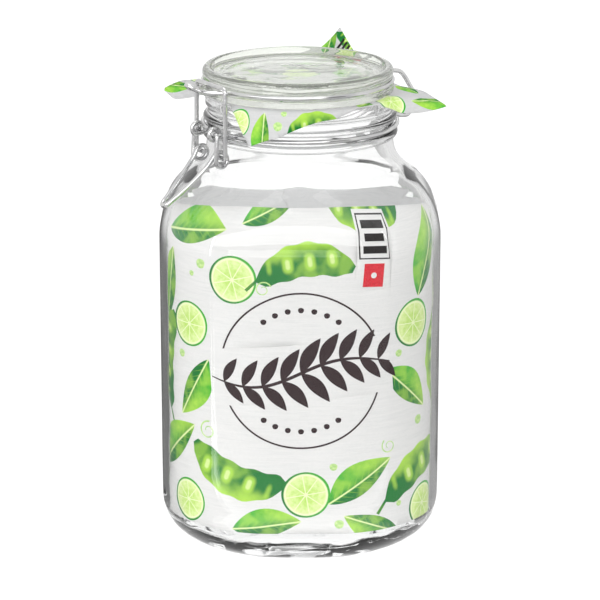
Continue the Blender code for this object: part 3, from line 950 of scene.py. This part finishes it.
def printed_paper(name, edge, marks, grid, lift):
    """Paper with its print as regions of the mesh. lift places a flat point and a depth in space."""
    flat, regions = cut_into_regions(edge, marks, grid)
    used = sorted({i for triangle, _ in regions for i in triangle})
    number = {old: new for new, old in enumerate(used)}
    obj = mesh_object(name, ())
    mesh = bmesh.new()
    place = mesh.loops.layers.uv.new("print")
    face_side = [mesh.verts.new(lift(flat[i].x, flat[i].y, 0.0)) for i in used]
    back_side = [mesh.verts.new(lift(flat[i].x, flat[i].y, PAPER_THICK)) for i in used]
    back = INK_NAMES.index("back")
    rim = set()
    for triangle, mark in regions:
        a, b, c = (number[i] for i in triangle)
        top = mesh.faces.new((face_side[a], face_side[b], face_side[c]))
        mesh.faces.new((back_side[c], back_side[b], back_side[a])).material_index = back
        if mark:
            top.material_index = INK_NAMES.index(mark.ink)
            for corner, i in zip(top.loops, triangle):
                corner[place].uv = mark.own_place(flat[i].x, flat[i].y)
        for start, end in ((a, b), (b, c), (c, a)):
            if (end, start) in rim:
                rim.remove((end, start))
            else:
                rim.add((start, end))
    for start, end in sorted(rim):
        corners = (face_side[end], face_side[start], back_side[start], back_side[end])
        mesh.faces.new(corners).material_index = back
    for face in mesh.faces:
        face.smooth = True
    mesh.normal_update()
    mesh.to_mesh(obj.data)
    mesh.free()
    return obj


def spread(low, high, step):
    """Places at about this step from low to high."""
    count = max(1, round((high - low) / step))
    return [low + (high - low) * i / count for i in range(count + 1)]


# Printed paper lining
LINING_HALF = HALF_WIDTH - SLEEVE_INSET
LINING_CORNER = CORNER_R - SLEEVE_INSET
LINING_ROUND = 8 * (LINING_HALF - LINING_CORNER) + 2 * math.pi * LINING_CORNER


def round_square(run, half, corner):
    """Point after a run along a square with round corners, from the front's middle."""
    straight = half - corner
    quarter_run = 2 * straight + corner * math.pi / 2
    quarters, rest = divmod(run + straight, quarter_run)
    if rest < 2 * straight:
        x, y = rest - straight, -half
    else:
        angle = (rest - 2 * straight) / corner
        x, y = straight + corner * math.sin(angle), -straight - corner * math.cos(angle)
    turn = quarters * math.pi / 2
    return x * math.cos(turn) - y * math.sin(turn), x * math.sin(turn) + y * math.cos(turn)


def lining_top(run):
    _, y = round_square(run, LINING_HALF, LINING_CORNER)
    return SLEEVE_TOP_Z - SLEEVE_SLOPE * y


def lining_lift(run, z, depth):
    """The lining winds inward a little, so that its two ends overlap at the back."""
    at_middle, per_turn = SLEEVE_WIND
    wind = at_middle + per_turn * (run / LINING_ROUND)
    ripple = SLEEVE_RIPPLE * math.sin(run / 17.0) * math.sin(z / 23.0)
    inset = SLEEVE_INSET + wind + ripple + depth
    half = shoulder_half(z, inset)
    corner = min(half, CORNER_R - inset)
    whole = 8 * (half - corner) + 2 * math.pi * corner
    x, y = round_square(run * whole / LINING_ROUND, half, corner)
    return (x, y, z)


# Print on the lining: shape, run from the front's middle, height, size and turn in degrees
FRONT_MARKS = (
    ("leaf", -60, 174, 21, 8),
    ("wheel", -34, 153, 12.5, 15),
    ("pod", 2, 164, 25, 8),
    ("leaf", -16, 187, 17, 24),
    ("pod", 36, 184, 24, 168),
    ("leaf", 75, 160, 23, 66),
    ("leaf", -78, 143, 21, 78),
    ("spot", -52, 159, 2.6, 0),
    ("spot", -58, 153, 1.5, 0),
    ("tendril", -18, 149, 5, 20),
    ("pod", -84, 104, 27, 84),
    ("wheel", -60, 126, 12.0, 0),
    ("leaf", -57, 93, 19, 240),
    ("spot", -66, 109, 2.2, 0),
    ("tendril", -48, 72, 6, 80),
    ("wheel", 62, 126, 12.5, 40),
    ("pod", 84, 100, 28, 98),
    ("leaf", 58, 92, 19, 318),
    ("spot", 52, 112, 2.0, 0),
    ("spot", 67, 73, 2.6, 0),
    ("leaf", -73, 58, 22, 42),
    ("pod", -35, 47, 27, 160),
    ("wheel", -62, 31, 11.5, 50),
    ("wheel", 3, 40, 12.5, 10),
    ("leaf", 31, 46, 20, 34),
    ("pod", 68, 50, 27, 18),
    ("tendril", 46, 64, 5, 130),
    ("leaf", -17, 23, 18, 8),
    ("leaf", 38, 22, 17, 158),
    ("wheel", 72, 26, 11.5, 30),
    ("spot", 17, 55, 2.0, 0),
    ("spot", 20, 24, 2.4, 0),
    ("spot", 53, 31, 1.6, 0),
    ("leaf", 108, 164, 21, 140),
    ("wheel", 110, 132, 12.5, 0),
    ("pod", 110, 72, 26, 62),
    ("leaf", 108, 34, 19, 150),
    ("spot", 106, 112, 2.4, 0),
)
BACK_MARKS = (
    ("wheel", -19, 122, 12.5, 20),
    ("pod", 12, 100, 26, 205),
    ("leaf", 34, 126, 20, 62),
    ("leaf", -24, 84, 20, 128),
    ("leaf", 46, 152, 17, 20),
    ("spot", 2, 128, 2.2, 0),
    ("spot", 20, 76, 1.8, 0),
)
EMBLEM = (0.5, 106.0)
EMBLEM_R = 41.3
EMBLEM_LINE = 0.95
SPRIG_HALF = 46.0
SPRIG_LEAF = 10.5
BERRY_RING_R = 32.0
TAG = (38.0, 165.0)
TAG_LEAN = -5.0


def lining_marks():
    """Leaves, pods, wheels and drops, the same again at the back, with the emblem and tag in front."""
    marks = []
    for around, shapes in ((0.0, FRONT_MARKS), (LINING_ROUND / 2, FRONT_MARKS + BACK_MARKS)):
        for shape, x, y, size, turn in shapes:
            x = (x + around + LINING_ROUND / 2) % LINING_ROUND - LINING_ROUND / 2
            marks.append(Mark(shape, "spot" if shape == "tendril" else shape, x, y, size, turn))
    return marks + emblem() + tag()


def emblem():
    """A plain ring with a sprig of leaves and berries across it."""
    x, y = EMBLEM
    marks = [
        Mark("disc", "brown", x, y, EMBLEM_R),
        Mark("disc", "paper", x, y, EMBLEM_R - EMBLEM_LINE),
        Mark("bar", "paper", x, y - 1, 47.0, 5, tall=15.0),
        Mark("stroke", "brown", x, y - 1, SPRIG_HALF, 5),
    ]
    for i in range(-4, 5):
        along = i / 4.7
        stem_x = x + SPRIG_HALF * along
        stem_y = y - 1 + 5.5 * math.sin(math.pi * along) + 4.0 * along
        size = SPRIG_LEAF * (1 - 0.35 * abs(along))
        for turn in (62, -46):
            out_x, out_y = polar(size, turn)
            marks.append(Mark("leaf", "brown", stem_x + out_x, stem_y + out_y, size, turn, tall=size * 0.8))
    for berry in arc(EMBLEM, BERRY_RING_R, 126, 54, 6) + arc(EMBLEM, BERRY_RING_R, -54, -126, 6):
        marks.append(Mark("spot", "brown", *berry, 1.5))
    return marks


def tag():
    """A small framed tag with plain bars, over a red square. It leans to look upright in the bend."""
    lean = math.radians(TAG_LEAN)
    marks = []
    for ink, up, wide, tall in (
        ("paper", 1.5, 9.6, 19.0),
        ("black", 8.5, 8.4, 10.4),
        ("paper", 8.5, 7.7, 9.7),
        ("black", 14.3, 6.4, 1.8),
        ("black", 8.5, 5.4, 1.8),
        ("black", 2.7, 6.4, 1.8),
        ("red", -10.0, 5.4, 6.0),
    ):
        x, y = TAG[0] - up * math.sin(lean), TAG[1] + up * math.cos(lean)
        marks.append(Mark("bar", ink, x, y, wide, TAG_LEAN, tall=tall))
    marks.append(Mark("disc", "paper", marks[-1].x, marks[-1].y, 1.5))
    return marks


def paper_lining():
    """One long sheet that stands round the inside of the jar, and overlaps itself at the back."""
    end = LINING_ROUND / 2 + SLEEVE_HALF_OVERLAP
    runs = spread(-end, end, SLEEVE_RUN_STEP)
    edge = [(run, SLEEVE_BOTTOM_Z) for run in runs]
    edge += [(run, lining_top(run)) for run in reversed(runs)]
    grid = []
    for run in runs[1:-1]:
        heights = spread(SLEEVE_BOTTOM_Z, lining_top(run), SLEEVE_Z_STEP)
        grid += [(run, z) for z in heights[1:-1]]
    lining = printed_paper("paper_lining", edge, lining_marks(), grid, lining_lift)
    finished(lining, LINING_INKS, "jar", ["paper_sleeve"])


# Printed paper square under the lid
def edge_at(azimuth):
    """Reach and droop of the square's edge at an azimuth. The edge is straight from one point to the next."""
    if azimuth < SHEET_EDGE[0][0]:
        azimuth += 360
    for (a, reach_a, droop_a), (b, reach_b, droop_b) in zip(SHEET_EDGE, SHEET_EDGE[1:]):
        if not a <= azimuth <= b:
            continue
        droop = droop_a + (azimuth - a) / (b - a) * (droop_b - droop_a)
        if reach_a == reach_b:
            return reach_a, droop
        near, far = SHEET_EDGE_R + reach_a, SHEET_EDGE_R + reach_b
        whole, done, left = (math.sin(math.radians(turn)) for turn in (b - a, azimuth - a, b - azimuth))
        return near * far * whole / (near * done + far * left) - SHEET_EDGE_R, droop
    return SHEET_EDGE[-1][1:]


def cover_lift(x, y, depth):
    """Flat under the lid, and bent up or down where it reaches past the mouth."""
    run = math.hypot(x, y)
    azimuth = math.atan2(y, x)
    side = Vector((math.cos(azimuth), math.sin(azimuth), 0))
    off = PAPER_THICK / 2 - depth
    if run <= SHEET_EDGE_R:
        return side * run + Vector((0, 0, SHEET_MID_Z + off))
    past = run - SHEET_EDGE_R
    reach, droop = edge_at(math.degrees(azimuth))
    bend = max(1.0, 0.3 * reach)
    r, z, angle = SHEET_EDGE_R, SHEET_MID_Z, 0.0
    steps = 16
    for i in range(steps):
        done = min(1.0, (i + 0.5) * past / steps / bend)
        angle = math.radians(droop) * done * done * (3 - 2 * done)
        r += past / steps * math.cos(angle)
        z -= past / steps * math.sin(angle)
    off += SHEET_WAVE * math.sin(azimuth * 17) * min(1.0, past / 12)
    return side * (r + off * math.sin(angle)) + Vector((0, 0, z + off * math.cos(angle)))


# Print on the square: shape, x, y, size and turn in degrees
COVER_MARKS = (
    ("leaf", 68, -12, 12, 200),
    ("wheel", 46, -24, 9, 0),
    ("pod", 37, -42, 15, 138),
    ("leaf", 55, 3, 9, 130),
    ("pod", 8, -56, 17, 12),
    ("leaf", -22, -62, 13, 70),
    ("wheel", -34, -49, 8, 0),
    ("spot", -12, -58, 2.4, 0),
    ("spot", -8, -52, 1.5, 0),
    ("leaf", -64, 11, 11, 160),
    ("wheel", -50, 22, 8, 0),
    ("leaf", 20, 66, 13, 60),
    ("pod", 31, 58, 11, 283),
    ("wheel", 24, 48, 7, 0),
    ("wheel", -24, -22, 12, 0),
    ("pod", 6, -24, 19, 30),
    ("leaf", 26, 14, 16, 80),
    ("wheel", 0, 10, 11, 0),
    ("pod", -25, 18, 17, 120),
    ("leaf", 28, -18, 13, 340),
    ("leaf", 2, 36, 15, 20),
)

# Plain bars and squares at the square's back corner: ink, x, y, half width and half height
COVER_BARS = (
    ("black", 25.5, 61.0, 3.6, 0.7),
    ("black", 26.4, 58.6, 3.6, 0.7),
    ("black", 27.3, 56.2, 3.6, 0.7),
    ("red", 19.0, 41.0, 3.4, 2.6),
    ("red", 29.0, 36.0, 3.4, 2.6),
)
COVER_BAR_TURN = 28.0


def paper_cover():
    """The square under the lid, with its corners bent where they stick out."""
    azimuths = spread(SHEET_EDGE[0][0], SHEET_EDGE[-1][0], SHEET_EDGE_STEP)[:-1]
    edge = [polar(SHEET_EDGE_R + edge_at(azimuth)[0], azimuth) for azimuth in azimuths]
    marks = [Mark(shape, shape, x, y, size, turn) for shape, x, y, size, turn in COVER_MARKS]
    marks += [Mark("bar", ink, x, y, wide, COVER_BAR_TURN, tall=tall) for ink, x, y, wide, tall in COVER_BARS]
    places = spread(-SHEET_REACH, SHEET_REACH, SHEET_STEP)
    grid = [(x, y) for x in places for y in places]
    cover = printed_paper("paper_cover", edge, marks, grid, cover_lift)
    finished(cover, COVER_INKS, "lid", ["paper_sheet"])


# Studio, in metres
FLOOR_SIZE = 12.0
FLOOR_DROP = 0.0004
FLOOR_FRONT_LIGHT = 0.38
STRIPE_ACROSS = (-0.39, 0.92)
STRIPE_OFF = 0.0387
STRIPE_LIGHT = 2.6
CARD_X = 0.16
CARD_TOP_Z = 0.65
CARD_FLOOR_X = 0.084
CARD_LIFT = 0.0006
CARD_ENDS_Y = (-0.12, 0.70)
CARD_HIGH_LIGHT = 0.75
WINDOW_Y = -1.3
WINDOW_X = (-3.4, 0.87)
WINDOW_Z = (0.50, 1.30)
WINDOW_LIGHT = 2.8
LAMP_TARGET = (0, 0, 0.13)

# Soft lamps: name, place, size, watts, and whether reflections show them
LAMPS = (
    ("lamp_key", (-0.75, -1.2, 0.7), (0.6, 0.9), 10.5, False),
    ("lamp_fill", (0.9, -1.2, 0.7), (0.6, 0.9), 6.5, False),
    ("lamp_top", (0.0, 0.1, 1.4), (0.7, 0.7), 2.0, True),
    ("lamp_strip_front", (-0.35, -1.25, 0.20), (1.3, 0.24), 1.9, True),
    ("lamp_strip_left", (-1.10, -0.55, 0.20), (0.16, 0.9), 2.2, True),
    ("lamp_strip_right", (1.10, -0.45, 0.55), (0.25, 0.5), 2.5, True),
)


def soft_lamp(name, place, size, power, in_reflections):
    """A lamp aimed at the jar's middle. It isn't seen through glass."""
    lamp = bpy.data.lights.new(name, "AREA")
    lamp.shape = "RECTANGLE"
    lamp.size, lamp.size_y = size
    lamp.energy = power
    obj = bpy.data.objects.new(name, lamp)
    obj.location = place
    obj.rotation_euler = (Vector(LAMP_TARGET) - Vector(place)).to_track_quat("-Z", "Y").to_euler()
    obj.visible_glossy = in_reflections
    obj.visible_transmission = False
    bpy.context.scene.collection.objects.link(obj)


def surroundings():
    """White behind and overhead, and dim to the sides and in front, which draws the dark edges in glass."""
    world = bpy.data.worlds.new("studio_world")
    bpy.context.scene.world = world
    world.use_nodes = True
    sky = Nodes(world.node_tree)
    _, behind, above = sky.axes(sky.node("ShaderNodeTexCoord", out="Generated"))
    from_behind = behind.ramp(0.35, 0.85, 0.24, 1.0, linear=True)
    light = from_behind.most(above.ramp(0.30, 0.90, linear=True))
    background = sky.tree.nodes["Background"].inputs
    sky.put(background["Strength"], light)
    sky.put(background["Color"], (1.0, 1.0, 1.0))


def lit_surface(name, strength=1.0):
    """A matt surface that gives off its own light, of a colour that is set later."""
    return Finish(name, (0.01, 0.01, 0.01), 0.9, **{"Emission Strength": strength})


def floor_light(floor):
    """White behind the jar, and dimmer in front but for a stripe."""
    x, y, _ = floor.axes(floor.place())
    behind = y.ramp(-0.16, -0.125)
    from_stripe = abs(y * STRIPE_ACROSS[1] + x * STRIPE_ACROSS[0] + STRIPE_OFF)
    stripe = from_stripe.ramp(0.034, 0.022) * x.ramp(-0.12, -0.14)
    return behind * (1 - FLOOR_FRONT_LIGHT) + FLOOR_FRONT_LIGHT + stripe * STRIPE_LIGHT


def studio_floor():
    """A wide floor, whose stripe shows in the glass."""
    bpy.ops.mesh.primitive_plane_add(size=FLOOR_SIZE, location=(0, 0, -FLOOR_DROP))
    floor = bpy.context.object
    floor.name = "studio_floor"
    white = Finish("studio_white", (0.1, 0.1, 0.1), 0.9, **{"Emission Strength": 1.0})
    white.set(**{"Emission Color": floor_light(white)})
    floor.data.materials.append(white.material)


def hide_from(obj, *rays):
    for ray in rays:
        setattr(obj, "visible_" + ray, False)


def dark_cards():
    """Grey cards along both sides and the floor beside the jar. Only glass shows them, as dark edges."""
    for side, name, dim in ((-1, "studio_card_left", 0.16), (1, "studio_card_right", 0.34)):
        rows = ((CARD_X, CARD_TOP_Z), (CARD_X, CARD_LIFT), (CARD_FLOOR_X, CARD_LIFT))
        corners = [(side * x, y, z) for x, z in rows for y in CARD_ENDS_Y]
        card = mesh_object(name, corners, faces=[(0, 1, 3, 2), (2, 3, 5, 4)])
        grey = lit_surface(name)
        height = grey.axes(grey.place())[2]
        grey.set(**{"Emission Color": height.ramp(0.10, 0.17, dim, CARD_HIGH_LIGHT)})
        card.data.materials.append(grey.material)
        hide_from(card, "camera", "diffuse", "shadow")


def bright_window():
    """A wide bright panel in front. Only reflections show it: a band on the shoulder, and lights on wire."""
    corners = [(x, WINDOW_Y, z) for z in WINDOW_Z for x in WINDOW_X]
    panel = mesh_object("studio_window", corners, faces=[(2, 3, 1, 0)])
    glow = lit_surface("studio_window", WINDOW_LIGHT)
    glow.set(**{"Emission Color": (1, 1, 1)})
    panel.data.materials.append(glow.material)
    hide_from(panel, "camera", "diffuse", "transmission", "shadow")


def studio():
    studio_floor()
    dark_cards()
    bright_window()
    surroundings()
    for lamp in LAMPS:
        soft_lamp(*lamp)


def camera():
    bpy.ops.object.camera_add()
    cam = bpy.context.object
    cam.name = "photo_camera"
    cam.data.lens = LENS_MM
    cam.data.sensor_width = SENSOR_MM
    cam.data.sensor_fit = "AUTO"
    cam.data.clip_start = 0.05
    pitch = math.radians(VIEW_PITCH)
    height = VIEW_TARGET_Z + VIEW_DISTANCE * math.sin(pitch)
    cam.location = (0, -VIEW_DISTANCE * math.cos(pitch) * MM, height * MM)
    cam.rotation_euler = (math.pi / 2 - pitch, 0, 0)
    bpy.context.scene.camera = cam


STEEL = drawn_steel()
JAR_GLASS = clear_glass("jar_glass", JAR_TINT, 0.0004, 26.0)
LID_GLASS = clear_glass("lid_glass_clear", LID_TINT, 0.0005, 70.0, 0.93)
PRINTS = [
    leaf_print(),
    pod_print(),
    wheel_print(),
    spot_print(),
    flat_print("ink_brown", INK_BROWN),
    flat_print("ink_black", INK_BLACK),
    flat_print("ink_red", INK_RED),
]
# The lining's back gets the lighter white, which is painted light through the paper
LINING_INKS = [plain_paper("lining_face", LINING_WHITE), plain_paper("lining_back_lit", LINING_BACK_LIT), *PRINTS]
# Both faces of the square get the darker white, which is painted shade
COVER_INKS = [plain_paper("cover_face_shaded", COVER_SHADED_WHITE), plain_paper("cover_back_shaded", COVER_SHADED_WHITE), *PRINTS]
INK_NAMES = ["paper", "back", "leaf", "pod", "wheel", "spot", "brown", "black", "red"]

bpy.context.scene.view_settings.view_transform = "Standard"
finished(glass_body(), [JAR_GLASS], "jar", ["jar_body"])
finished(glass_lid(), [LID_GLASS], "lid", ["lid_glass"])
collar()
lid_wire()
bail()
lever()
paper_lining()
paper_cover()
studio()
camera()
